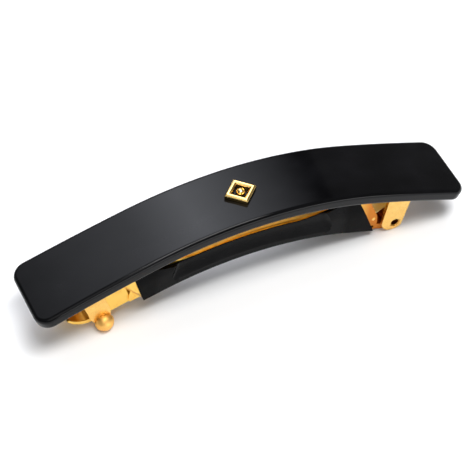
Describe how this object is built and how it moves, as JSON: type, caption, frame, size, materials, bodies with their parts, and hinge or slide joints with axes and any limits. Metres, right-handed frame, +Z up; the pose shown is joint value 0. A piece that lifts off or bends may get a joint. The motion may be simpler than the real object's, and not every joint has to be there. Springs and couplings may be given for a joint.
{
  "type": "barrette",
  "caption": "Arched, gently waisted hair barrette bar with a small lozenge ornament on top, and a hinged clip arm with a tension bow and a two-pad spring clasp underneath.",
  "frame": {"origin": "centre of the bounding box's bottom, on the surface the closed clip rests on (finger pads and hinge ears)", "axes": "+X along the bar towards the hinge end, +Y across the bar towards the back, +Z up through the bar's outer face"},
  "size_m": [0.1002, 0.0164, 0.0238],
  "materials": {
    "acetate": "polished near-black cellulose acetate",
    "cover_black": "moulded black nylon, satin on the ends, glossier in the waist",
    "gold": "bright gold-plated sheet metal, pressed and polished",
    "spring_gold": "gold-plated spring strip, drawn along its length",
    "ornament_gold": "polished gold-plated casting"
  },
  "bodies": {
    "base": {"top_bar": "acetate", "ornament_frame": "ornament_gold", "ornament_bead": "ornament_gold", "ornament_post_left": "gold", "ornament_post_right": "gold", "base_plate": "gold", "bar_rivet_left": "gold", "bar_rivet_right": "gold", "clasp_saddle": "gold", "clasp_rivet": "gold", "hinge_pin": "gold"},
    "arm": {"arm_channel": "gold", "front_cheek": "gold", "back_cheek": "gold", "arm_cover": "cover_black", "cover_rivet_left": "gold", "cover_rivet_right": "gold", "catch_pin": "gold", "bow_pin": "gold"},
    "bow": {"tension_bow": "spring_gold"},
    "front_clasp": {"front_leg": "gold", "front_pad": "gold"},
    "back_clasp": {"back_leg": "gold", "back_pad": "gold"}
  },
  "joints": [
    {"name": "arm_hinge", "type": "hinge", "parent": "base", "child": "arm", "pos_m": [0.03433, 0, 0.00212], "axis": [0, -1, 0], "range_deg": [0, 65]},
    {"name": "bow_press", "type": "hinge", "parent": "arm", "child": "bow", "pos_m": [0.02938, 0, 0.00436], "axis": [0, -1, 0], "range_deg": [0, 1.2], "stiffness_Nm_per_rad": 0.4},
    {"name": "front_leg_flex", "type": "hinge", "parent": "base", "child": "front_clasp", "pos_m": [-0.03762, -0.0043, 0.012], "axis": [-0.9565, 0, -0.2916], "range_deg": [0, 6], "stiffness_Nm_per_rad": 0.03},
    {"name": "back_leg_flex", "type": "hinge", "parent": "base", "child": "back_clasp", "pos_m": [-0.03762, 0.0043, 0.012], "axis": [0.9565, 0, 0.2916], "range_deg": [0, 6], "stiffness_Nm_per_rad": 0.03}
  ],
  "couplings": [
    {"joint": "back_leg_flex", "follows": "front_leg_flex", "ratio": 1}
  ]
}
